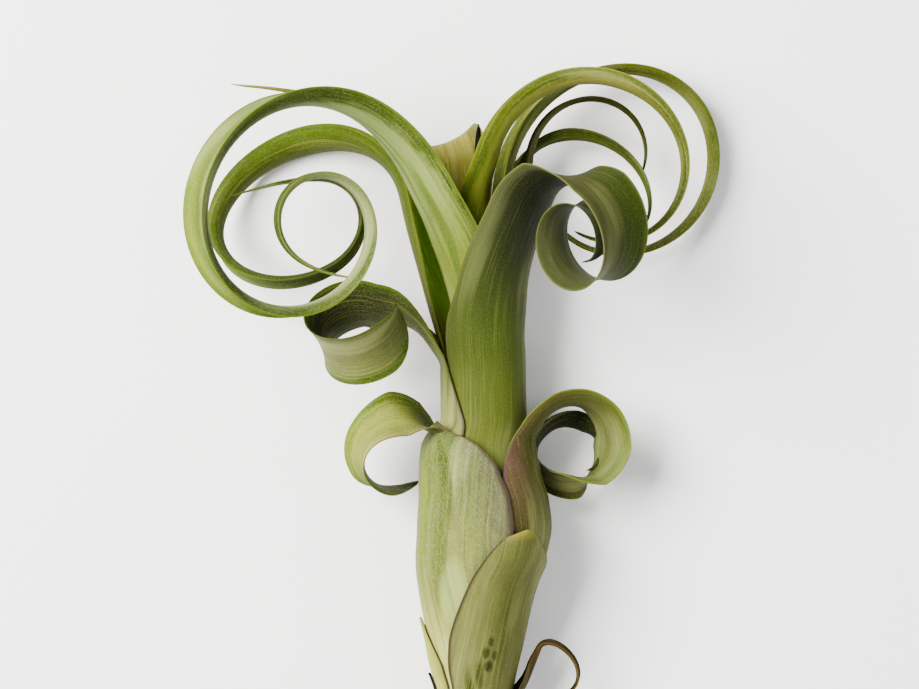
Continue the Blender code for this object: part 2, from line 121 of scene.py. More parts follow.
LEAVES = (
    Leaf("basal_leaf_left", 0, 187,
         sheath=((4, 140, 245), (14, 155, 232), (22, 170, 215), (27, 176, 202), (31.5, 181, 188))),
    Leaf("basal_leaf_right", 0, -8,
         sheath=((4, -70, 60), (12, -60, 42), (20, -42, 26)),
         rise=((13.2, 28, 17), (15.6, 34, 17.5), (17.5, 39, 18)),
         axis=((0, 0, 0, -1), (60, 0.2, 0.5, -0.84)),
         bends=((0, 3), (80, 5), (120, 12), (180, 9), (230, 6), (270, 5)),
         lamina=((0, 10, 70), (0.22, 6, 60), (0.34, 2.6, 120), (1, 1.6, 120))),
    Leaf("lower_left_sheath", 1, 178,
         sheath=((6, 136, 244), (18, 137, 240), (27, 136, 236), (34, 137, 230), (38, 146, 220),
                 (43, 160, 204), (48.5, 176, 181))),
    Leaf("front_sheath", 1, 40,
         sheath=((8, -62, 132), (18, -60, 130), (30, -56, 128), (41, -44, 123), (47, -32, 115),
                 (52, -20, 107), (59, -2, 98), (65, 17, 91), (70, 34, 83), (73.5, 45, 73),
                 (75.5, 53, 57))),
    Leaf("left_sheath_leaf", 2, 172,
         sheath=((12, 62, 250), (25, 62, 250), (40, 63, 250), (55, 65, 249), (65, 66, 248),
                 (75, 67, 246), (85, 69, 242), (94, 75, 234), (99, 87, 225), (102, 101, 217),
                 (104.5, 130, 209)),
         rise=((-16.2, 105.5, 21.5), (-17.2, 106.5, 22.5)),
         axis=((0, 0, -0.1, 1), (45, 0.1, -0.7, 0.7), (110, 0.32, -0.5, 0.8), (160, 0.45, -0.3, 0.84),
               (195, 0.68, -0.25, 0.69), (230, 0.7, -0.15, 0.7)),
         bends=((0, 10), (50, 13), (90, 12), (130, 11), (165, 12), (200, 19), (222, 40), (227, 40)),
         lamina=((0, 15, 70), (0.2, 18, 50), (0.6, 15, 50), (1, 1.5, 40))),
    Leaf("right_sheath_leaf", 3, 16,
         sheath=((16, -110, 80), (28, -110, 80), (40, -110, 80), (55, -110, 79), (65, -109, 78),
                 (75, -108, 77), (85, -103, 74), (94, -80, 66), (99, -55, 60), (103, -25, 52)),
         rise=((16.6, 104.6, 25.4), (18, 107, 25.6)),
         axis=((0, 0.28, 0.1, -0.95), (25, -0.1, -0.2, -0.97), (57, -0.3, -0.2, -0.93),
               (100, -0.55, -0.1, -0.83), (147, -0.68, 0.05, -0.73), (190, -0.3, 0.2, -0.93),
               (215, 0.1, -0.2, -0.97), (240, 0.4, -0.55, -0.73), (285, 0.1, -0.7, -0.7), (330, 0.1, 0, -1),
               (375, 0.3, -0.2, -0.93), (420, 0.1, -0.7, -0.7), (465, -0.2, -0.5, -0.84),
               (510, -0.5, -0.1, -0.86)),
         bends=((0, 13.5), (50, 13.5), (70, 11), (100, 13), (150, 13.5), (175, 12), (200, 10), (225, 8),
                (240, 16), (265, 17), (290, 11), (330, 7), (360, 12), (420, 11), (450, 11), (510, 8),
                (555, 5)),
         lamina=((0, 20, 90), (0.25, 17, 50), (0.55, 15, 50), (0.75, 11, 50), (0.9, 7, 50), (1, 1.5, 40))),
    Leaf("left_roll_leaf", 4, 178,
         sheath=((22, 105, 252), (40, 105, 252), (60, 105, 252), (75, 106, 252), (90, 108, 250),
                 (100, 111, 248), (110, 124, 242), (118, 138, 234), (124, 152, 224)),
         rise=((-14, 129.2, 21), (-18, 134.6, 21), (-24.5, 139, 21), (-33, 141, 21.5)),
         axis=((0, -0.3, 0.68, 0.67),),
         bends=((0, 13), (60, 13), (120, 14), (200, 12.8), (260, 12.4), (310, 12.4)),
         lamina=((0, 16, 90), (0.3, 19.5, 40), (0.8, 20, 30), (1, 1.5, 30))),
    Leaf("front_leaf", 5, 70,
         sheath=((26, -60, 165), (40, -60, 165), (60, -60, 165), (75, -58, 165), (90, -55, 165),
                 (100, -50, 165), (110, -46, 165), (122, -43, 160)),
         rise=((5, 132, 33.5), (5.4, 142, 34.8), (6.6, 150, 36.3), (10, 161.6, 39.5), (14, 171.8, 44)),
         axis=((0, 0.7, 0, -0.7), (35, 0.58, -0.2, -0.79), (65, 0.62, 0.1, -0.77), (95, 0.66, 0.26, -0.7),
               (200, 0.66, 0.2, -0.72), (500, 0.68, 0.1, -0.73)),
         bends=((0, 16), (60, 17.5), (150, 16), (240, 13), (330, 11.5), (420, 9.5), (500, 8.5), (600, 8.5)),
         lamina=((0, 28, 130), (0.13, 27, 90), (0.27, 27, 50), (0.45, 23, 40), (0.7, 16, 40), (0.9, 10, 40),
                 (1, 1.5, 30))),
    Leaf("upper_left_leaf", 6, 115,
         sheath=((30, 98, 205), (50, 98, 205), (75, 98, 205), (100, 98, 190), (118, 98, 165),
                 (130, 99, 160), (139, 100, 160)),
         rise=((-5, 150, 32), (-10.4, 164, 34.5), (-16.8, 176.6, 38)),
         axis=((0, 0.72, 0.1, 0.7), (90, 0.5, 0.05, 0.86), (300, 0.3, 0, 0.95)),
         bends=((0, 54), (50, 40), (110, 36), (155, 28), (200, 25), (245, 25.5), (290, 24), (335, 18.5),
                (380, 13.5), (425, 12.8), (520, 12.8), (560, 17), (585, 40), (596, 60)),
         lamina=((0, 21, 100), (0.12, 20, 80), (0.28, 18, 110), (0.45, 16, 110), (0.62, 12, 110),
                 (0.78, 8, 100), (0.9, 5, 90), (1, 0.8, 60))),
    Leaf("upper_right_leaf", 7, 108,
         sheath=((40, 60, 150), (60, 60, 150), (80, 60, 150), (100, 62, 148), (120, 70, 144),
                 (140, 78, 138)),
         rise=((-1.8, 158, 29), (-0.3, 173, 28.5), (4, 187.5, 29.5)),
         axis=((0, 0.5, 0, -0.87), (45, 0.33, -0.33, -0.88), (85, 0, -0.4, -0.92), (170, -0.05, 0, -1)),
         bends=((0, 33), (60, 32), (120, 27.5), (170, 23), (220, 20), (258, 24), (272, 24)),
         lamina=((0, 14, 80), (0.2, 14, 100), (0.4, 11, 120), (0.7, 8, 120), (1, 3, 90))),
    Leaf("right_ring_leaf", 8, 36,
         sheath=((50, 0, 95), (75, 0, 95), (100, 0, 88), (120, 0, 76), (140, 4, 68)),
         rise=((8.8, 155, 24.5), (6.5, 166, 22.8), (8, 179, 22)),
         axis=((0, -0.25, 0, -0.97),),
         bends=((0, 39), (50, 39), (90, 31), (130, 24), (180, 28), (240, 30), (290, 24), (330, 18)),
         lamina=((0, 13, 80), (0.15, 13, 100), (0.4, 10, 120), (0.7, 8, 120), (1, 3, 90))),
    Leaf("upper_left_rear_leaf", 7, 212,
         sheath=((40, 168, 250), (60, 168, 250), (80, 168, 250), (100, 168, 250), (118, 170, 250)),
         rise=((-9.5, 128, 17), (-13, 139, 16), (-17, 152, 15.3), (-20.8, 165, 15.5), (-23.2, 175, 16)),
         axis=((0, -0.2, 0.2, 0.95), (90, -0.3, 0.5, 0.81), (300, -0.2, 0.3, 0.93)),
         bends=((0, 18), (50, 23), (80, 31), (110, 34), (150, 23), (180, 16.5), (220, 20), (250, 27),
                (275, 28), (300, 18), (320, 15), (350, 14), (400, 14), (430, 14.5), (442, 60), (456, 120)),
         lamina=((0, 17, 90), (0.25, 18, 90), (0.45, 14, 100), (0.6, 10, 120), (0.75, 7, 100),
                 (1, 0.8, 50))),
    Leaf("right_thin_leaf", 8, -25,
         sheath=((50, -60, -8), (75, -60, -8), (100, -56, -8), (120, -46, -8), (140, -42, -8)),
         rise=((11.5, 158, 19), (13.3, 172, 19.5), (15, 186, 19.5)),
         axis=((0, -0.2, 0, -0.98),),
         bends=((0, 24), (60, 18), (90, 18), (130, 16), (180, 16), (198, 20)),
         lamina=((0, 8, 80), (0.3, 6, 90), (0.7, 5, 90), (1, 1, 60))),
    Leaf("right_rear_leaf", 7, -80,
         sheath=((42, -105, -24), (75, -105, -24), (100, -105, -30), (120, -105, -50), (140, -104, -60)),
         rise=((4.5, 158, 12.5), (7.5, 172, 12), (12, 183, 12.5)),
         axis=((0, -0.2, 0, -0.98), (65, 0, -0.3, -0.95), (150, 0, 0, -1)),
         bends=((0, 13), (60, 19), (100, 25), (150, 18), (180, 11), (195, 11)),
         lamina=((0, 9, 80), (0.4, 9, 100), (0.8, 7, 100), (1, 2, 60))),
    Leaf("centre_back_leaf", 8, 255,
         sheath=((46, 205, 292), (75, 205, 292), (100, 205, 292), (120, 205, 292), (145, 210, 288)),
         rise=((-4, 160, 14.5), (-5, 174, 15), (-6, 185, 16)),
         axis=((0, -0.89, -0.46, 0.05),),
         bends=((0, 7), (120, 7), (200, 9)),
         lamina=((0, 14, 80), (0.35, 15, 50), (0.58, 19, 40), (0.72, 18, 40), (0.86, 11, 50), (1, 1, 60))),
    Leaf("left_thin_leaf", 8, 160,
         sheath=((50, 122, 192), (75, 122, 192), (100, 122, 192), (120, 124, 190), (140, 128, 188)),
         rise=((-8, 155, 23), (-13, 172, 23), (-21, 186, 25), (-31, 196, 27), (-43, 202.5, 29),
               (-59, 206.2, 30), (-74.2, 208, 30)),
         axis=((0, 0.2, 0, 0.98),),
         lamina=((0, 9, 80), (0.35, 6, 90), (0.7, 4.5, 100), (1, 0.8, 60))),
    Leaf("heart_leaf", 10.5, 90,
         sheath=((50, 10, 170), (75, 10, 170), (100, 10, 170), (120, 15, 165), (140, 30, 150)),
         rise=((0, 160, 23), (-0.8, 178, 21.5), (-0.4, 196.5, 21.5)),
         lamina=((0, 8, 90), (0.5, 4, 80), (1, 1.2, 60))),
)


def unit(vector):
    """The vector at length one."""
    return vector / np.linalg.norm(vector)


def smooth(share):
    """Ease from 0 to 1."""
    share = min(1.0, max(0.0, share))
    return share * share * (3 - 2 * share)


def cubic(t):
    """Weights at t of a cubic span's start, start slope, end and end slope."""
    return 2 * t**3 - 3 * t**2 + 1, t**3 - 2 * t**2 + t, 3 * t**2 - 2 * t**3, t**3 - t**2


def eased(x, xs, ys):
    """Monotone cubic through the points (xs, ys), read at x."""
    xs, ys = np.array(xs, dtype=float), np.array(ys, dtype=float)
    if len(xs) < 3 or x <= xs[0] or x >= xs[-1]:
        return float(np.interp(x, xs, ys))
    steps, rates = np.diff(xs), np.diff(ys) / np.diff(xs)
    slopes = np.concatenate([[rates[0]], np.zeros(len(xs) - 2), [rates[-1]]])
    for k in range(1, len(xs) - 1):
        if rates[k - 1] * rates[k] > 0:
            before, after = 2 * steps[k] + steps[k - 1], steps[k] + 2 * steps[k - 1]
            slopes[k] = (before + after) / (before / rates[k - 1] + after / rates[k])
    i = int(np.searchsorted(xs, x) - 1)
    ends = (ys[i], steps[i] * slopes[i], ys[i + 1], steps[i] * slopes[i + 1])
    return float(np.dot(cubic((x - xs[i]) / steps[i]), ends))


def bulb_at(height):
    """Radius of the outermost ring and centre of the bulb at a height."""
    heights, *columns = zip(*BULB)
    radius, x, z = (eased(height, heights, column) for column in columns)
    return radius, np.array([x, height, z])


def outward(azimuth):
    """Direction away from the plant's axis at an azimuth."""
    angle = math.radians(azimuth)
    return np.array([math.cos(angle), 0.0, math.sin(angle)])


def sheath_radius(leaf, height):
    """Radius of the inner face of a leaf's sheath."""
    return bulb_at(height)[0] - leaf.ring * RING_PITCH - SHEATH_THICKNESS


def sheath_rows(leaf):
    """Rows of a leaf's sheath, closely spaced: height and the azimuths of its two margins."""
    heights, lows, highs = zip(*leaf.sheath)
    count = max(6, int(round((heights[-1] - heights[0]) / SHEATH_STEP)))
    return [(h, eased(h, heights, lows), eased(h, heights, highs))
            for h in np.linspace(heights[0], heights[-1], count + 1)]


def travel(points):
    """Distance along a row of points, at each of them."""
    return np.concatenate([[0], np.cumsum(np.linalg.norm(np.diff(np.array(points), axis=0), axis=1))])


def curve_through(points, counts):
    """Smooth curve through points, with counts[i] steps in span i; chord lengths set its speed."""
    points = np.array(points, dtype=float)
    knots = travel(points)
    slopes = np.gradient(points, knots, axis=0)
    curve, tangents = [points[0]], [unit(slopes[0])]
    for i, count in enumerate(counts):
        span = knots[i + 1] - knots[i]
        for t in np.linspace(0, 1, count + 1)[1:]:
            ends = (points[i], span * slopes[i], points[i + 1], span * slopes[i + 1])
            rates = (6 * t**2 - 6 * t, 3 * t**2 - 4 * t + 1, 6 * t - 6 * t**2, 3 * t**2 - 2 * t)
            curve.append(np.dot(cubic(t), ends))
            tangents.append(unit(np.dot(rates, ends)))
    return curve, tangents


def turned(vector, axis, angle):
    """A vector turned about a unit axis."""
    return (vector * math.cos(angle) + np.cross(axis, vector) * math.sin(angle)
            + axis * np.dot(axis, vector) * (1 - math.cos(angle)))


def axis_at(leaf, angle):
    """Across direction of a leaf's curl after a turned angle."""
    angles, *columns = zip(*leaf.axis)
    return unit(np.array([np.interp(angle, angles, column) for column in columns]))


def curl_from(leaf, start, tangent):
    """Points, tangents and across directions round a leaf's curl, from where its rise ends."""
    angles, radii = zip(*leaf.bends)
    total = angles[-1]
    first = axis_at(leaf, 0)
    count = max(2, int(round(total / CURL_STEP)))
    slide0 = float(np.dot(tangent, first))
    flat = unit(tangent - slide0 * first)
    point = np.array(start, dtype=float)
    points, tangents, acrosses = [], [], []
    turn = total / (count * CURL_SUBSTEPS)
    for k in range(count * CURL_SUBSTEPS):
        angle = (k + 0.5) * turn
        axis = axis_at(leaf, angle)
        flat = unit(flat - np.dot(flat, axis) * axis)
        flat = turned(flat, axis, math.radians(turn / 2))
        slide = slide0 * math.exp(-angle / SLIDE_FADE)
        direction = slide * axis + math.sqrt(1 - slide**2) * flat
        point = point + direction * math.radians(turn) * eased(angle, angles, radii)
        flat = turned(flat, axis, math.radians(turn / 2))
        if (k + 1) % CURL_SUBSTEPS == 0:
            direction = slide * axis + math.sqrt(1 - slide**2) * flat
            points.append(point)
            tangents.append(direction)
            acrosses.append(unit(axis - np.dot(axis, direction) * direction))
    return points, tangents, acrosses


def leaf_frames(leaf):
    """Spine points, tangents and across directions of a leaf, and how many belong to its sheath."""
    heights = [row[0] for row in sheath_rows(leaf)]
    wrapped = [bulb_at(h)[1] + sheath_radius(leaf, h) * outward(leaf.side) for h in heights]
    held = len(wrapped)
    knots = wrapped + [np.array(p, dtype=float) for p in leaf.rise]
    counts = [1] * (held - 1)
    for a, b in zip(knots[held - 1:], knots[held:]):
        counts.append(max(1, int(round(np.linalg.norm(b - a) / RISE_STEP))))
    points, tangents = curve_through(knots, counts)
    length = travel(points)
    free = max(1e-6, length[-1] - length[held - 1])
    base = outward(leaf.side - 90)
    goal = axis_at(leaf, 0) if leaf.axis else base
    acrosses = []
    for i, tangent in enumerate(tangents):
        share = smooth((length[i] - length[held - 1]) / free)
        if i < held:
            acrosses.append(base)
            continue
        mixed = base + (goal - base) * share
        acrosses.append(unit(mixed - np.dot(mixed, tangent) * tangent))
    if leaf.bends:
        more = curl_from(leaf, points[-1], tangents[-1])
        points, tangents, acrosses = points + more[0], tangents + more[1], acrosses + more[2]
    return np.array(points), np.array(tangents), np.array(acrosses), held


def sheath_section(leaf, height, low, high):
    """Angles of a sheath's two margins, its radius, its inward direction and its thickness."""
    first, last = math.radians(leaf.side - high), math.radians(leaf.side - low)
    return first, last, sheath_radius(leaf, height), -outward(leaf.side), SHEATH_THICKNESS


def blade_section(leaf, share, free, inward):
    """The same of a blade, at a share of its free length."""
    shares, widths, channels = zip(*leaf.lamina)
    width = eased(share, shares, widths)
    closing = min(1.0, (1.0 - share) / TAPER)
    width = max(LEAST_WIDTH, width * math.sqrt(closing * (2 - closing)))
    channel = math.radians(eased(share, shares, channels))
    blend = smooth(share * free / BLEND_LENGTH)
    height, low, high = leaf.sheath[-1]
    first = math.radians(leaf.side - high) * (1 - blend) - channel / 2 * blend
    last = math.radians(leaf.side - low) * (1 - blend) + channel / 2 * blend
    radius = sheath_radius(leaf, height) * (1 - blend) + width / channel * blend
    thickness = SHEATH_THICKNESS + (BLADE_THICKNESS - SHEATH_THICKNESS) * blend
    thickness = thickness + (TIP_THICKNESS - thickness) * share**TIP_EASE
    return first, last, radius, inward, min(thickness, THINNEST + width * THICK_SHARE)


def leaf_sections(leaf):
    """Sections of a leaf: inner and outer point rows, reach, and each point's places across it."""
    points, tangents, acrosses, held = leaf_frames(leaf)
    length = travel(points)
    free = max(1e-6, length[-1] - length[held - 1])
    wrapped = sheath_rows(leaf)
    spread = np.linspace(-1, 1, POINTS)
    sections = []
    for i, (point, tangent, across) in enumerate(zip(points, tangents, acrosses)):
        if i < held:
            section = sheath_section(leaf, *wrapped[i])
        else:
            share = (length[i] - length[held - 1]) / free
            section = blade_section(leaf, share, free, np.cross(tangent, across))
        first, last, radius, inward, thickness = section
        angles = first + (last - first) * (spread + 1) / 2
        thick = thickness * (1 - (1 - MARGIN_SHARE) * spread**2)
        sine, cosine = np.sin(angles)[:, None], np.cos(angles)[:, None]
        inner = point + radius * (sine * across + (1 - cosine) * inward)
        outer = inner + thick[:, None] * (sine * across - cosine * inward)
        sections.append((inner, outer, length[i], radius * angles, spread))
    return sections


def new_mesh(name, vertices, faces, crease):
    """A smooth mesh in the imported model's frame."""
    mesh = bpy.data.meshes.new(name)
    mesh.from_pydata([tuple(v) for v in vertices * MM + SHIFT], [], faces)
    mesh.update()
    mesh.shade_smooth()
    mesh.set_sharp_from_angle(angle=math.radians(crease))
    return mesh


def band_faces(loops, size):
    """Bands of quads between closed loops, each of the same number of points."""
    faces = []
    for a in range(0, (loops - 1) * size, size):
        for j in range(size):
            n = (j + 1) % size
            faces.append((a + j, a + size + j, a + size + n, a + n))
    return faces


def leaf_faces(sections):
    """Faces of a leaf: bands between its sections' loops, and a strip of quads over each end."""
    loop = 2 * POINTS
    faces = band_faces(sections, loop)
    for first, flip in ((0, False), ((sections - 1) * loop, True)):
        for j in range(POINTS - 1):
            quad = (first + j, first + j + 1, first + loop - 2 - j, first + loop - 1 - j)
            faces.append(quad[::-1] if flip else quad)
    return faces


def leaf_mesh(leaf):
    """Mesh of one leaf, with its grain and place attributes, and its length."""
    sections = leaf_sections(leaf)
    length = sections[-1][2]
    vertices, grain, place = [], [], []
    for inner, outer, reach, span, spread in sections:
        for face, (row, order) in enumerate(((inner, 1), (outer, -1))):
            vertices.append(row[::order])
            for s, e in zip(span[::order], spread[::order]):
                grain.append((s, reach, GRAIN_RING * leaf.ring + GRAIN_FACE * face))
                place.append((reach / length, e, float(face)))
    mesh = new_mesh(leaf.name, np.vstack(vertices), leaf_faces(len(sections)), LEAF_CREASE)
    for name, values in (("grain", grain), ("place", place)):
        layer = mesh.attributes.new(name, "FLOAT_VECTOR", "POINT")
        layer.data.foreach_set("vector", np.array(values, dtype=np.float32).ravel())
    return mesh, length


def stem_shape():
    """Vertices and faces of the woody stem: its profile turned round the bulb's centre line."""
    radii, heights = zip(*STEM_PROFILE)
    steps = sorted(set(heights) | set(np.arange(0, heights[-1], STEM_STEP)))
    vertices = []
    for height in steps:
        centre, radius = bulb_at(height)[1], np.interp(height, heights, radii)
        for k in range(STEM_SIDES):
            vertices.append(centre + radius * outward(360 * k / STEM_SIDES))
    top = len(vertices) - STEM_SIDES
    ends = [tuple(range(STEM_SIDES)), tuple(range(top, len(vertices)))[::-1]]
    return np.array(vertices), band_faces(len(steps), STEM_SIDES) + ends


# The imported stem's low corner stands where this stem's does, to about 0.1 mm.
STEM = stem_shape()
SHIFT = np.array(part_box("stem")[0]) - STEM[0].min(axis=0) * MM


# ---------------------------------------------------------------- materials

# A rough form of the renderer's AgX tone curve, for most leaf colours within 20 levels of 255. The curve
# greys bright colours, and rgb() undoes it for a surface in full studio light.
TONE_MIX = np.array(((0.8425, 0.0784, 0.0792), (0.0423, 0.8785, 0.0792), (0.0424, 0.0784, 0.8791)))
TONE_TERMS = (15.5, -40.14, 31.96, -6.868, 0.4298, 0.1191, -0.00232)    # from the sixth power down
TONE_LOW, TONE_HIGH = -12.474, 4.026    # stops below and above one that the curve spans
TONE_STEPS = 400
LIGHT_LEVEL = 3.72                      # light that falls on a surface that faces up
GLOSS_VEIL = 0.002                      # what the surface's gloss adds to its colour
DARKEST, BRIGHTEST = 0.0005, 0.9        # share of the light that a surface sends back

# Third coordinate of the grain, which gives each leaf and face its own noise.
GRAIN_RING = 40.0
GRAIN_FACE = 17.0
GRAIN_DEPTH = 0.13
NOISE_SHIFT = np.array((1.0, 0.7, 1.3))

# Values of a noise between which a layer of a leaf's colour fades in.
STREAK_BAND = (0.48, 0.7)
PATCH_BAND = (0.5, 0.75)
LINE_BAND = (0.52, 0.75)
DRIFT_BAND = (0.5, 0.78)
SILVER_BAND = (0.5, 0.68)
GREEN_BAND = (0.48, 0.3)
SCALE_BAND = (0.4, 0.7)
FINE_BAND = (0.3, 0.65, 0.3, 1.0)
MARGIN_BAND = (0.91, 0.985)             # the thin margin, in shares of the half width
MIDRIB_BAND = (-0.2, 0.2)               # where one half's colours pass into the other's
EDGE_FADE = 0.38                        # width over which the margins' colours fade in
STAIN_BAND = (1.5, 0.1)                 # a stain's outline, in squares of its own size
EDGE_WANDER = 0.5                       # how far streaks and patches push the margins' colours
STAIN_WANDER = 1.6

# Shares of a look's streak or silver that go to each layer.
PATCH_SHARE = 0.7
LINE_SHARE = 0.55
DRIFT_SHARE = 0.4
SILVER_SHARE = 0.45
GREEN_SHARE = 0.7

SHADE = (0.45, 0.52, 0.28, 1.0)         # multiplies a leaf's colour in its dark streaks
GREENING = (0.66, 0.84, 0.4, 1.0)       # multiplies it where the scales are thin
PALE, PALE_MIX = (222, 224, 160), 0.4
SILVER, SILVER_MIX = (226, 229, 208), 0.5
FROST, FROST_MIX = (214, 218, 196), 0.3
LEAF_ROUGHNESS, SCALE_ROUGHNESS = 0.42, 0.25
LEAF_BUMP, LEAF_BUMP_DEPTH = 0.3, 0.00025
SCATTER_DEPTH = (0.0012, 0.0016, 0.0005)

BARK_FACTORS = (1800.0, 260.0, 1800.0)
BARK_TONES = ((0.3, 58, 42, 28), (0.55, 112, 86, 58), (0.75, 158, 132, 96))


def tone_curve(x):
    """Display value of a share of the curve's span."""
    return np.polyval(TONE_TERMS, x)


def rgb(red, green, blue):
    """The surface colour that the picture shows as about this display colour, 0 to 255."""
    grid = np.linspace(0, 1, TONE_STEPS)
    shares = np.interp(TONE_MIX @ (np.array((red, green, blue)) / 255), tone_curve(grid), grid)
    light = np.linalg.inv(TONE_MIX) @ 2**(shares * (TONE_HIGH - TONE_LOW) + TONE_LOW)
    return (*(float(c) for c in np.clip(light / LIGHT_LEVEL - GLOSS_VEIL, DARKEST, BRIGHTEST)), 1.0)


class Graph:
    """Adds nodes to a material and links them."""

    def __init__(self, name):
        self.material = bpy.data.materials.new(name)
        self.material.use_nodes = True
        self.tree = self.material.node_tree
        self.shader = self.tree.nodes["Principled BSDF"]

    def node(self, kind, inputs=(), **settings):
        """One node; inputs is a list of (socket, value or output)."""
        node = self.tree.nodes.new("ShaderNode" + kind)
        for name, value in settings.items():
            setattr(node, name, value)
        for socket, value in inputs:
            self.put(node.inputs[socket], value)
        return node

    def put(self, socket, value):
        """Links an output to a socket, or sets its value."""
        if isinstance(value, bpy.types.NodeSocket):
            self.tree.links.new(value, socket)
        else:
            socket.default_value = value

    def attribute(self, name):
        """The three parts of a vector attribute, and the vector."""
        vector = self.node("Attribute", attribute_name=name).outputs["Vector"]
        parts = self.node("SeparateXYZ", [(0, vector)])
        return parts.outputs[0], parts.outputs[1], parts.outputs[2], vector

    def math(self, operation, a, b=0.0, c=0.0):
        """One calculation on two or three values."""
        return self.node("Math", [(0, a), (1, b), (2, c)], operation=operation).outputs[0]

    def span(self, value, low, high, to_low=0.0, to_high=1.0):
        """A value carried smoothly from one range to another."""
        inputs = [("Value", value), ("From Min", low), ("From Max", high),
                  ("To Min", to_low), ("To Max", to_high)]
        return self.node("MapRange", inputs, interpolation_type="SMOOTHSTEP").outputs[0]

    def stretched(self, vector, factors):
        """A vector with each part multiplied by its factor."""
        return self.node("VectorMath", [(0, vector), (1, factors)], operation="MULTIPLY").outputs[0]

    def noise(self, vector, detail, roughness):
        """Noise with features about as big as one unit of the vector."""
        inputs = [("Vector", vector), ("Scale", 1.0), ("Detail", detail), ("Roughness", roughness)]
        return self.node("TexNoise", inputs).outputs["Fac"]

    def cloud(self, factors, detail, roughness):
        """Noise in the object's own coordinates, multiplied by factors."""
        place = self.node("TexCoord").outputs["Object"]
        return self.noise(self.stretched(place, factors), detail, roughness)

    def bump(self, height, strength, distance):
        """Normal of a surface that has a relief."""
        inputs = [("Strength", strength), ("Distance", distance), ("Height", height)]
        return self.node("Bump", inputs).outputs[0]

    def surface(self, settings):
        """The material, once its shader's inputs are set."""
        for name, value in settings.items():
            self.put(self.shader.inputs[name], value)
        return self.material

    def ramp(self, factor, stops):
        """Colours along a factor; stops are (place, colour)."""
        node = self.node("ValToRGB", [(0, factor)])
        elements = node.color_ramp.elements
        while len(elements) > 1:
            elements.remove(elements[-1])
        for k, (place, colour) in enumerate(stops):
            element = elements[0] if k == 0 else elements.new(min(1.0, place))
            element.position = min(1.0, place)
            element.color = colour
        return node.outputs[0]

    def mix(self, factor, a, b, blend="MIX"):
        """Two colours mixed."""
        node = self.node("Mix", data_type="RGBA", blend_type=blend)
        self.put(node.inputs[0], factor)
        self.put(node.inputs[6], a)
        self.put(node.inputs[7], b)
        return node.outputs[2]


# Colours in full studio light, 0 to 255.
PURPLE = (104, 78, 80)
PINK = (158, 122, 118)
DRY = (128, 96, 56)
LIME = (160, 178, 70)


@dataclass
class Look:
    """Colours of one leaf, as rows of (reach in mm up the leaf, red, green, blue).

    outer and inner: the midrib on the face away from the plant's axis and on the face towards it.
    outer_plus and outer_minus: the same face near the margin on the side of the across direction, and
    near the other margin; inner_plus and inner_minus alike. Rows left out are those of the other margin.
    edge_from: rows of reach and the share of the half width where the margins' colours begin.
    silver: how much of the leaf the pale scales cover. streak: strength of the lengthwise streaks.
    line: rows of colour of the thin margin; line_strength: how strongly it shows.
    tip: colour of the last stretch.
    marks: stains of the outer face, as (reach, share of the half width, half length, half width, red,
    green, blue).
    """
    outer: tuple
    inner: tuple
    outer_plus: tuple = ()
    inner_plus: tuple = ()
    outer_minus: tuple = ()
    inner_minus: tuple = ()
    edge_from: tuple = ((0, 0.5),)
    silver: float = 0.4
    streak: float = 0.4
    line: tuple = ((0, *LIME),)
    line_strength: float = 0.6
    tip: tuple = LIME
    tip_length: float = 12.0
    marks: tuple = ()
    slot: str = "green_leaf"


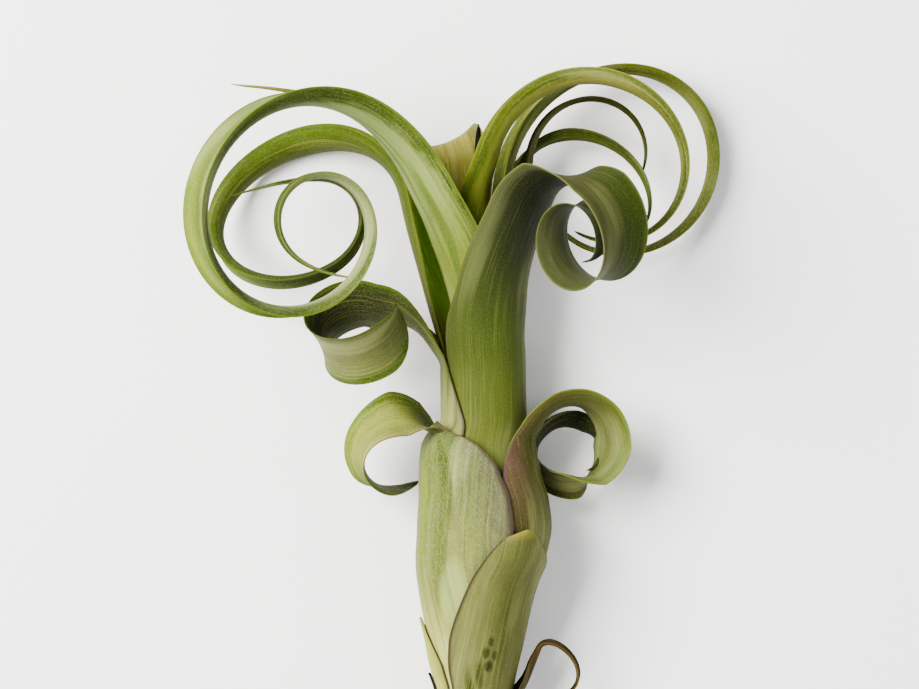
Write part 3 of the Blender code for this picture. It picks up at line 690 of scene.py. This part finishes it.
LOOKS = {
    "basal_leaf_left": Look(
        slot="dark_leaf",
        outer=((0, 60, 46, 32), (14, 84, 72, 44), (28, 40, 28, 24)),
        outer_plus=((0, 36, 26, 24), (20, 46, 32, 28)),
        inner=((0, 52, 40, 30),),
        silver=0.2, streak=0.5, line=((0, 26, 18, 18),), tip=(24, 16, 16), tip_length=6),
    "basal_leaf_right": Look(
        slot="dark_leaf",
        outer=((0, 78, 72, 40), (12, 108, 118, 58), (26, 96, 84, 44), (36, *DRY), (60, 76, 52, 28)),
        outer_plus=((0, 96, 104, 48), (22, 104, 110, 50), (34, *DRY)),
        outer_minus=((0, 40, 26, 30), (24, 44, 30, 32), (36, *DRY)),
        inner=((0, 56, 46, 30), (26, 74, 58, 36), (40, 104, 74, 40)),
        inner_plus=((0, 40, 28, 26),),
        edge_from=((0, 0.25),), silver=0.15, streak=0.5, line=((0, 36, 24, 28), (30, *DRY)),
        tip=(58, 38, 22), tip_length=20),
    "lower_left_sheath": Look(
        slot="silver_leaf",
        outer=((0, 186, 178, 110), (16, 206, 206, 138), (40, 196, 202, 116)),
        outer_plus=((0, 176, 166, 106), (20, 192, 192, 116)),
        inner=((0, 170, 168, 100),),
        silver=0.3, streak=0.3, line=((0, *PURPLE),), line_strength=0.9, tip=(180, 180, 100),
        tip_length=5),
    "front_sheath": Look(
        slot="olive_leaf",
        outer=((0, 148, 140, 92), (20, 156, 156, 102), (45, 142, 146, 82), (64, 146, 150, 88)),
        outer_plus=((0, 110, 88, 46), (25, 118, 106, 50), (60, 128, 126, 62)),
        outer_minus=((0, 156, 148, 98), (25, 170, 170, 120), (60, 158, 160, 100)),
        inner=((0, 110, 100, 50),),
        edge_from=((0, 0.25),), silver=0.3, streak=0.7, line=((0, 96, 62, 56), (50, *PURPLE)),
        line_strength=0.9, tip=(184, 180, 106), tip_length=4,
        marks=((33, -0.44, 2.0, 0.06, 92, 104, 38), (28.5, -0.38, 2.0, 0.07, 84, 94, 36),
               (36.5, -0.38, 1.6, 0.05, 100, 110, 46), (32, -0.3, 1.6, 0.05, 96, 106, 42),
               (18, -0.68, 11, 0.08, 96, 110, 42), (26, -0.52, 6, 0.07, 116, 122, 60))),
    "left_sheath_leaf": Look(
        slot="silver_leaf",
        outer=((0, 220, 218, 168), (22, 212, 212, 156), (45, 182, 182, 120), (70, 162, 166, 102),
               (95, 142, 154, 84), (112, 120, 130, 60), (130, 84, 96, 34)),
        outer_plus=((0, 190, 180, 130), (50, 166, 166, 128), (84, 148, 148, 116), (104, 120, 130, 56),
                    (130, 84, 96, 30)),
        outer_minus=((0, 190, 192, 96), (50, 156, 168, 56), (95, 150, 166, 60)),
        inner=((0, 150, 160, 80), (98, 136, 142, 60), (108, 182, 186, 108), (128, 178, 182, 98),
               (150, 112, 122, 54)),
        inner_plus=((0, 150, 164, 70), (98, 150, 140, 80), (110, 190, 184, 124)),
        inner_minus=((0, 150, 164, 70), (98, 130, 146, 46), (112, 160, 176, 64)),
        edge_from=((0, 0.6), (100, 0.5)), silver=0.75, streak=0.75,
        line=((0, *PURPLE), (84, *PURPLE), (98, 150, 126, 96), (120, 168, 178, 84)), line_strength=0.85,
        tip=(84, 96, 34), tip_length=10,
        marks=((80, 0.36, 15, 0.08, 122, 138, 48), (60, 0.28, 20, 0.1, 148, 156, 80),
               (74, 0.02, 24, 0.07, 166, 176, 72), (44, 0.5, 12, 0.2, 196, 202, 150))),
    "right_sheath_leaf": Look(
        slot="olive_leaf",
        # From reach 146 on, the rows of both faces and their margins, the margin line's last row and the
        # dark tip are painted shade. They are the leaf's green darkened where the wall of its inner turn
        # lies in shadow.
        outer=((0, 122, 116, 56), (40, 124, 122, 52), (76, 122, 126, 56), (94, 128, 128, 66),
               (104, 140, 142, 78), (122, 150, 154, 98), (136, 138, 144, 82), (146, 60, 68, 26),
               (170, 46, 56, 18), (190, 74, 88, 30)),
        outer_plus=((0, 112, 104, 50), (90, 104, 102, 46), (120, 128, 134, 76), (146, 60, 70, 24),
                    (170, 70, 84, 30)),
        outer_minus=((0, 112, 98, 50), (60, 124, 112, 60), (82, 146, 118, 96), (100, 138, 122, 74),
                     (112, 134, 144, 70), (132, 136, 152, 66), (146, 66, 78, 28), (170, 40, 50, 16)),
        inner=((0, 100, 104, 46), (130, 112, 110, 50), (150, 118, 116, 60), (164, 60, 64, 24),
               (180, 44, 52, 16)),
        inner_plus=((0, 110, 120, 48), (130, 108, 100, 44), (150, 128, 124, 66), (164, 70, 76, 26)),
        edge_from=((0, 0.45),), silver=0.3, streak=0.7,
        line=((0, *PINK), (84, *PINK), (98, 170, 178, 92), (140, 164, 178, 80), (160, 84, 96, 40)),
        line_strength=0.85, tip=(60, 70, 24), tip_length=8),
    "left_roll_leaf": Look(
        slot="silver_leaf",
        # The dark olive of the outer rows from reach 116 to 160, and of outer_minus at 150, is painted
        # shade: the inside of the roll, where the outer face lies in shadow.
        outer=((0, 160, 164, 96), (80, 164, 166, 100), (104, 150, 152, 92), (116, 108, 114, 54),
               (135, 84, 92, 44), (160, 76, 84, 44), (190, 96, 102, 56)),
        outer_plus=((0, 150, 150, 84), (90, 150, 146, 84), (112, 116, 132, 44), (140, 102, 124, 30),
                    (165, 72, 84, 36)),
        outer_minus=((0, 150, 150, 84), (110, 100, 108, 50), (150, 64, 70, 40)),
        inner=((0, 120, 124, 60), (110, 120, 126, 62), (150, 150, 152, 96), (175, 164, 166, 114),
               (195, 140, 146, 88)),
        inner_plus=((0, 110, 120, 50), (140, 146, 150, 90), (190, 124, 132, 74)),
        inner_minus=((0, 110, 120, 50), (140, 140, 156, 66), (190, 120, 148, 36)),
        edge_from=((0, 0.62),), silver=0.45, streak=0.75,
        line=((0, *PURPLE), (98, *PURPLE), (110, 140, 158, 66)), line_strength=0.8, tip=(104, 116, 60),
        tip_length=8),
    "front_leaf": Look(
        slot="green_leaf",
        # The dark dip of the outer rows from reach 132 to 170, in all three outer lists, is painted shade
        # under the start of the roll. The inner rows' fall to dark at 240 is painted shade on the inner
        # turn.
        outer=((0, 136, 138, 68), (80, 132, 142, 62), (96, 124, 138, 58), (114, 106, 126, 50),
               (132, 92, 104, 50), (150, 76, 84, 50), (170, 50, 54, 36), (205, 102, 108, 64),
               (225, 108, 114, 68), (245, 98, 106, 62), (275, 80, 86, 46)),
        outer_plus=((0, 118, 108, 56), (80, 128, 124, 52), (110, 98, 108, 44), (140, 74, 80, 42),
                    (170, 44, 46, 28), (215, 90, 96, 50), (240, 76, 84, 42)),
        outer_minus=((0, 150, 150, 80), (90, 134, 144, 66), (120, 112, 130, 54), (145, 96, 106, 58),
                     (165, 66, 72, 44), (210, 112, 118, 72), (245, 106, 114, 68)),
        inner=((0, 110, 116, 50), (160, 98, 102, 32), (185, 98, 104, 26), (210, 88, 100, 22),
               (240, 60, 68, 26)),
        inner_plus=((0, 100, 110, 40), (170, 90, 102, 22), (195, 80, 104, 10), (215, 84, 106, 16)),
        inner_minus=((0, 110, 110, 50), (165, 106, 108, 44), (185, 106, 110, 36), (215, 96, 104, 34)),
        edge_from=((0, 0.3), (150, 0.3), (170, 0.1), (215, 0.1), (225, 0.3)), silver=0.2, streak=0.3,
        line=((0, *PURPLE), (92, 140, 124, 96), (130, 158, 160, 100)), line_strength=0.6,
        tip=(60, 66, 30), tip_length=10),
    "upper_left_leaf": Look(
        slot="silver_leaf",
        outer=((0, 164, 164, 96), (104, 170, 172, 92), (114, 180, 188, 80), (132, 178, 190, 100),
               (150, 186, 196, 136), (190, 190, 198, 152), (212, 150, 160, 100), (240, 104, 124, 48),
               (285, 104, 124, 50), (312, 124, 134, 80), (345, 110, 120, 70), (410, 124, 132, 82)),
        outer_plus=((0, 140, 152, 48), (118, 140, 156, 44), (150, 124, 146, 34), (190, 126, 144, 40),
                    (215, 104, 128, 28), (245, 92, 116, 24), (285, 104, 128, 34), (318, 120, 138, 66),
                    (345, 112, 128, 62), (400, 120, 130, 74)),
        outer_minus=((0, 160, 172, 60), (130, 160, 178, 70), (170, 150, 172, 84), (205, 132, 146, 86),
                     (300, 120, 138, 60), (350, 112, 124, 62)),
        inner=((0, 120, 140, 50), (210, 104, 126, 34), (232, 112, 136, 36), (262, 118, 142, 40),
               (300, 128, 148, 46), (345, 104, 120, 50), (400, 120, 132, 70)),
        inner_minus=((0, 130, 148, 44), (214, 118, 142, 30), (236, 158, 174, 76), (262, 168, 180, 82),
                     (290, 140, 160, 50), (345, 110, 126, 52)),
        edge_from=((0, 0.5), (135, 0.5), (190, 0.35), (225, 0.3), (300, 0.3), (330, 0.4)), silver=0.55,
        streak=0.75,
        line=((0, 150, 110, 90), (100, 150, 120, 84), (118, 170, 190, 80), (200, 156, 176, 70)),
        line_strength=0.6, tip=(186, 188, 130), tip_length=14,
        marks=((153, 0.88, 3.5, 0.06, 84, 120, 28), (163, 0.9, 3.0, 0.05, 84, 120, 28),
               (145, 0.9, 2.5, 0.05, 80, 116, 26), (136, 0.1, 26, 0.16, 152, 172, 80),
               (170, -0.3, 20, 0.12, 160, 176, 96), (98, -0.3, 18, 0.45, 158, 156, 94))),
    "upper_right_leaf": Look(
        slot="olive_leaf",
        outer=((0, 166, 174, 84), (120, 182, 188, 94), (160, 172, 176, 88), (185, 174, 172, 100),
               (210, 136, 140, 58), (240, 126, 128, 60), (270, 104, 106, 44)),
        outer_plus=((0, 120, 130, 44), (140, 96, 108, 32), (200, 92, 98, 34), (250, 78, 82, 30)),
        outer_minus=((0, 158, 170, 60), (130, 150, 164, 50), (170, 130, 142, 42), (200, 120, 128, 42),
                     (240, 96, 104, 34)),
        inner=((0, 120, 128, 46), (160, 110, 116, 44), (240, 84, 88, 36)),
        edge_from=((0, 0.35),), silver=0.35, streak=0.65, line=((0, 182, 188, 92),), line_strength=0.55,
        tip=(60, 60, 24), tip_length=16),
    "right_ring_leaf": Look(
        slot="olive_leaf",
        outer=((0, 130, 140, 56), (140, 128, 138, 56), (165, 136, 142, 52), (195, 146, 150, 52),
               (225, 128, 134, 46), (250, 108, 114, 50), (280, 96, 100, 44)),
        outer_plus=((0, 90, 100, 40), (180, 92, 98, 50), (240, 84, 90, 46)),
        outer_minus=((0, 96, 108, 36), (150, 100, 112, 34), (190, 132, 140, 34), (225, 120, 132, 28),
                     (260, 96, 104, 34)),
        inner=((0, 120, 130, 50), (140, 130, 142, 52), (170, 120, 130, 44), (240, 70, 76, 36)),
        edge_from=((0, 0.35),), silver=0.35, streak=0.6, line=((0, 150, 160, 66),), line_strength=0.5,
        tip=(50, 48, 22), tip_length=18),
    "upper_left_rear_leaf": Look(
        slot="green_leaf",
        outer=((0, 110, 96, 44), (100, 124, 116, 52), (135, 132, 140, 62), (165, 134, 146, 66),
               (190, 124, 138, 42), (215, 112, 130, 34), (245, 110, 126, 54), (280, 92, 112, 38),
               (340, 104, 118, 56)),
        outer_plus=((0, 92, 66, 38), (96, 110, 88, 44), (125, 140, 150, 58), (150, 132, 152, 22),
                    (205, 124, 146, 14), (230, 92, 116, 34), (280, 76, 98, 24)),
        outer_minus=((0, 84, 58, 40), (120, 128, 132, 62), (165, 140, 142, 88), (190, 110, 118, 52),
                     (230, 96, 108, 46)),
        # The bright green of the inner rows from reach 100 to 145, most of all in inner_minus, is partly
        # the leaf's own green and partly painted light. It is lightened to stand in for light where the
        # leaf lies in shade between its neighbours.
        inner=((0, 110, 80, 44), (100, 170, 186, 66), (116, 192, 224, 76), (140, 160, 196, 52),
               (160, 112, 140, 34), (200, 100, 128, 22), (235, 120, 132, 72), (262, 96, 110, 50),
               (300, 74, 98, 18), (380, 84, 104, 36)),
        inner_plus=((0, 110, 76, 44), (110, 130, 150, 44), (150, 120, 160, 30), (250, 86, 108, 34)),
        inner_minus=((0, 110, 70, 50), (90, 150, 110, 60), (108, 186, 214, 74), (140, 164, 200, 54),
                     (160, 108, 136, 32), (235, 140, 150, 96), (262, 84, 100, 44), (300, 70, 92, 20)),
        edge_from=((0, 0.3),), silver=0.3, streak=0.65, line=((0, 92, 60, 44), (112, 140, 158, 54)),
        line_strength=0.6, tip=(112, 124, 56), tip_length=14),
    "right_thin_leaf": Look(
        slot="dark_leaf",
        outer=((0, 92, 92, 36), (140, 76, 78, 26), (170, 84, 88, 30), (200, 92, 100, 36)),
        outer_plus=((0, 84, 82, 32), (140, 66, 64, 20), (190, 80, 82, 26)),
        inner=((0, 84, 84, 32), (160, 72, 74, 26)),
        silver=0.12, streak=0.5, line=((0, 88, 88, 34),), line_strength=0.4, tip=(70, 74, 30),
        tip_length=10),
    "right_rear_leaf": Look(
        slot="green_leaf",
        outer=((0, 96, 108, 32), (140, 102, 116, 30), (185, 110, 124, 34), (220, 98, 112, 30)),
        outer_plus=((0, 74, 86, 22), (180, 78, 92, 20)),
        inner=((0, 70, 84, 22), (160, 80, 94, 22)),
        silver=0.2, streak=0.6, line=((0, 112, 126, 40),), line_strength=0.45, tip=(50, 54, 20),
        tip_length=14),
    "centre_back_leaf": Look(
        slot="olive_leaf",
        outer=((0, 150, 148, 74), (160, 150, 150, 70)),
        # The pale yellow of the inner rows from reach 120 to 180, with inner_plus's, is partly the leaf's
        # own colour and partly painted light. It is lightened to stand in for light where the leaf lies in
        # shade behind the others.
        inner=((0, 130, 128, 52), (120, 160, 158, 74), (146, 186, 180, 106), (162, 200, 194, 128),
               (180, 164, 160, 90)),
        inner_plus=((0, 120, 118, 48), (140, 172, 166, 92), (165, 176, 170, 100)),
        inner_minus=((0, 104, 104, 42), (140, 142, 138, 62), (160, 168, 162, 90)),
        edge_from=((0, 0.3),), silver=0.3, streak=1.0, line=((0, 170, 170, 84),), line_strength=0.5,
        tip=(110, 110, 40), tip_length=14),
    "left_thin_leaf": Look(
        slot="olive_leaf",
        outer=((0, 124, 130, 50), (140, 124, 134, 44), (200, 108, 116, 44)),
        inner=((0, 110, 118, 46), (150, 120, 128, 48)),
        silver=0.25, streak=0.5, line=((0, 150, 158, 70),), line_strength=0.5, tip=(180, 178, 112),
        tip_length=30),
    "heart_leaf": Look(
        slot="dark_leaf",
        outer=((0, 60, 58, 28), (120, 48, 42, 20), (150, 30, 24, 14)),
        inner=((0, 52, 50, 24), (130, 34, 30, 16)),
        silver=0.12, streak=0.3, line=((0, 54, 48, 24),), line_strength=0.4, tip=(26, 20, 12),
        tip_length=12),
}


class LeafPaint(Graph):
    """The material of one leaf, laid on in layers as its look says."""

    def __init__(self, leaf, look, length):
        super().__init__(leaf.name)
        self.look = look
        self.length = length
        self.along, self.edge, self.face, _ = self.attribute("place")
        self.side = self.math("ABSOLUTE", self.edge)
        self.grain = self.attribute("grain")[3]
        self.drift = self.grained(9.0, 60.0, 2.0, 0.55, 3.1)
        self.patches = self.grained(4.0, 14.0, 3.0, 0.6, 9.3)
        self.streaks = self.grained(1.3, 45.0, 4.0, 0.6, 7.7)
        self.lines = self.grained(0.5, 30.0, 2.0, 0.5, 2.3)
        self.fine = self.grained(0.4, 5.0, 3.0, 0.6, 1.9)
        self.scales = self.grained(0.35, 0.55, 2.0, 0.7, 5.3)

    def grained(self, width, length, detail, roughness, offset):
        """Noise with features of a width across the leaf and a length along it, in millimetres."""
        scaled = self.stretched(self.grain, (1 / width, 1 / length, GRAIN_DEPTH))
        moved = self.node("VectorMath", [(0, scaled), (1, tuple(offset * NOISE_SHIFT))]).outputs[0]
        return self.noise(moved, detail, roughness)

    def rows(self, stops):
        """A colour that changes up the leaf; stops are (reach, red, green, blue)."""
        return self.ramp(self.along, [(reach / self.length, rgb(*colour)) for reach, *colour in stops])

    def layer(self, tint, over, field, band, strength):
        """Another colour over the tint, where a field lies in a band."""
        return self.mix(self.math("MULTIPLY", self.span(field, *band), strength), tint, over)

    def wandered(self, value, field, amount):
        """A value that a noise pushes up and down."""
        return self.math("MULTIPLY_ADD", self.math("SUBTRACT", field, 0.5), amount, value)

    def sided(self, rim, middle, plus, minus):
        """Colours of one face: its midrib, and each half's margin."""
        margins = self.rows(plus or minus or middle)
        if minus and plus:
            margins = self.mix(self.span(self.edge, *MIDRIB_BAND), self.rows(minus), margins)
        return self.mix(rim, self.rows(middle), margins)

    def faces(self):
        """Colours of the two faces; the margins' colours reach inwards unevenly, along the streaks."""
        look = self.look
        shares = [(reach / self.length, (share, share, share, 1)) for reach, share in look.edge_from]
        reached = self.wandered(self.side, self.streaks, EDGE_WANDER)
        reached = self.wandered(reached, self.patches, EDGE_WANDER)
        rim = self.span(self.math("SUBTRACT", reached, self.ramp(self.along, shares)), 0.0, EDGE_FADE)
        inner = self.sided(rim, look.inner, look.inner_plus, look.inner_minus)
        outer = self.sided(rim, look.outer, look.outer_plus, look.outer_minus)
        return self.mix(self.face, inner, outer)

    def stained(self, tint):
        """Stains with soft, uneven outlines."""
        for reach, share, half_length, half_width, *colour in self.look.marks:
            up = self.math("MULTIPLY_ADD", self.along, self.length / half_length, -reach / half_length)
            over = self.math("MULTIPLY_ADD", self.edge, 1 / half_width, -share / half_width)
            apart = self.math("ADD", self.math("MULTIPLY", up, up), self.math("MULTIPLY", over, over))
            apart = self.wandered(apart, self.patches, STAIN_WANDER)
            tint = self.layer(tint, rgb(*colour), apart, STAIN_BAND, self.face)
        return tint

    def streaked(self, tint):
        """Lengthwise streaks and soft patches, dark and pale."""
        streak = self.look.streak
        dark = self.mix(1.0, tint, SHADE, "MULTIPLY")
        tint = self.layer(tint, dark, self.streaks, STREAK_BAND, streak)
        tint = self.layer(tint, dark, self.patches, PATCH_BAND, streak * PATCH_SHARE)
        pale = self.mix(PALE_MIX, tint, rgb(*PALE))
        tint = self.layer(tint, pale, self.lines, LINE_BAND, streak * LINE_SHARE)
        return self.layer(tint, pale, self.drift, DRIFT_BAND, streak * DRIFT_SHARE)

    def silvered(self, tint):
        """Long silvery and green stretches, and fine rows of scales."""
        silver = self.look.silver
        bright = self.mix(SILVER_MIX, tint, rgb(*SILVER))
        tint = self.layer(tint, bright, self.drift, SILVER_BAND, silver * SILVER_SHARE)
        greener = self.mix(1.0, tint, GREENING, "MULTIPLY")
        tint = self.layer(tint, greener, self.drift, GREEN_BAND, silver * GREEN_SHARE)
        speck = self.math("MULTIPLY", self.span(self.scales, *SCALE_BAND), self.span(self.fine, *FINE_BAND))
        frost = self.mix(FROST_MIX, tint, rgb(*FROST))
        return self.mix(self.math("MULTIPLY", speck, silver), tint, frost)

    def edged(self, tint):
        """The thin margin, and the tip."""
        look = self.look
        tint = self.layer(tint, self.rows(look.line), self.side, MARGIN_BAND, look.line_strength)
        end = self.span(self.along, 1 - look.tip_length / self.length, 1.0)
        return self.mix(end, tint, rgb(*look.tip))

    def paint(self):
        """The finished material."""
        relief = self.math("MULTIPLY_ADD", self.lines, 0.6, self.math("MULTIPLY", self.scales, 0.4))
        return self.surface({
            "Base Color": self.edged(self.silvered(self.streaked(self.stained(self.faces())))),
            "Roughness": self.math("MULTIPLY_ADD", self.scales, SCALE_ROUGHNESS, LEAF_ROUGHNESS),
            "Normal": self.bump(relief, LEAF_BUMP, LEAF_BUMP_DEPTH),
            "Subsurface Weight": 0.1,
            "Subsurface Radius": SCATTER_DEPTH,
            "Subsurface Scale": 1.0,
            "Specular IOR Level": 0.03,
        })


def bark_material():
    """Fibrous brown bark of the stem."""
    g = Graph("stem_bark")
    fibres = g.cloud(BARK_FACTORS, 4.0, 0.6)
    return g.surface({
        "Base Color": g.ramp(fibres, [(place, rgb(*colour)) for place, *colour in BARK_TONES]),
        "Roughness": g.math("MULTIPLY_ADD", fibres, 0.3, 0.6),
        "Normal": g.bump(fibres, 0.6, 0.0004),
    })


# ---------------------------------------------------------------- pieces

def add_object(name, data):
    """A new object in the scene."""
    added = bpy.data.objects.new(name, data)
    bpy.context.scene.collection.objects.link(added)
    return added


def add_piece(name, mesh, material):
    """A piece that stands for the CAD node of the same place in the plant."""
    mesh.materials.append(material)
    piece = add_object("look_" + name, mesh)
    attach(piece, "root")
    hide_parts(name)


def add_leaves():
    """Every leaf in place of its CAD node."""
    for leaf in LEAVES:
        look = LOOKS[leaf.name]
        mesh, length = leaf_mesh(leaf)
        add_piece(leaf.name, mesh, LeafPaint(leaf, look, length).paint())


def add_stem():
    """The stem in place of its CAD node."""
    add_piece("stem", new_mesh("stem", *STEM, STEM_CREASE), bark_material())


# ---------------------------------------------------------------- stage, light and camera

VIEW_CENTRE = (-6.15, 130.35)       # what the camera looks at, in the plant's frame
VIEW_PLANE = 21.0
VIEW_DISTANCE = 1250.0
VIEW_WIDTH = 275.7                  # width of the picture at VIEW_PLANE
SENSOR = 36.0

FLOOR_SIZE = 6.0
FLOOR_FACTORS = (6.0, 6.0, 6.0)
FLOOR_TONES = [(0.3, (0.92, 0.92, 0.915, 1)), (0.7, (0.94, 0.94, 0.935, 1))]
SURROUND = 0.65                     # strength of the white surround
LAMP_TARGET = (0, 0.02, 0.03)
# Name, place, size, power and colour of each soft light.
LAMPS = (
    ("key", (-0.75, 0.35, 0.95), 0.8, 83.0, (1.0, 0.99, 0.96)),
    ("fill", (0.8, -0.3, 0.9), 0.9, 8.0, (0.97, 0.98, 1.0)),
)


def add_floor():
    """A plain pale floor."""
    bpy.ops.mesh.primitive_plane_add(size=FLOOR_SIZE, location=(0, 0, 0))
    floor = bpy.context.object
    floor.name = "floor"
    g = Graph("floor")
    tones = g.ramp(g.cloud(FLOOR_FACTORS, 3.0, 0.5), FLOOR_TONES)
    floor.data.materials.append(g.surface({"Base Color": tones, "Roughness": 0.8}))


def add_lamp(name, place, size, power, colour):
    """A soft square light that points at the plant."""
    light = bpy.data.lights.new(name, "AREA")
    light.size = size
    light.energy = power
    light.color = colour
    lamp = add_object(name, light)
    lamp.location = place
    direction = np.array(LAMP_TARGET) - np.array(place)
    yaw = math.atan2(direction[0], -direction[1])
    pitch = math.atan2(math.hypot(direction[0], direction[1]), -direction[2])
    lamp.rotation_euler = (pitch, 0, yaw + math.pi)


def add_light():
    """Soft studio light: a big key from the upper left, a weak fill and a bright surround."""
    world = bpy.data.worlds.new("studio")
    bpy.context.scene.world = world
    world.use_nodes = True
    background = world.node_tree.nodes["Background"]
    background.inputs["Color"].default_value = (1.0, 1.0, 1.0, 1)
    background.inputs["Strength"].default_value = SURROUND
    for lamp in LAMPS:
        add_lamp(*lamp)


def add_camera():
    """The camera looks straight down on the plant."""
    data = bpy.data.cameras.new("camera")
    data.sensor_width = SENSOR
    data.lens = SENSOR * VIEW_DISTANCE / VIEW_WIDTH
    data.clip_start = 0.05
    camera = add_object("camera", data)
    camera.location = np.array((*VIEW_CENTRE, VIEW_PLANE + VIEW_DISTANCE)) * MM + SHIFT
    bpy.context.scene.camera = camera


add_leaves()
add_stem()
add_floor()
add_light()
add_camera()

bpy.context.view_layer.update()
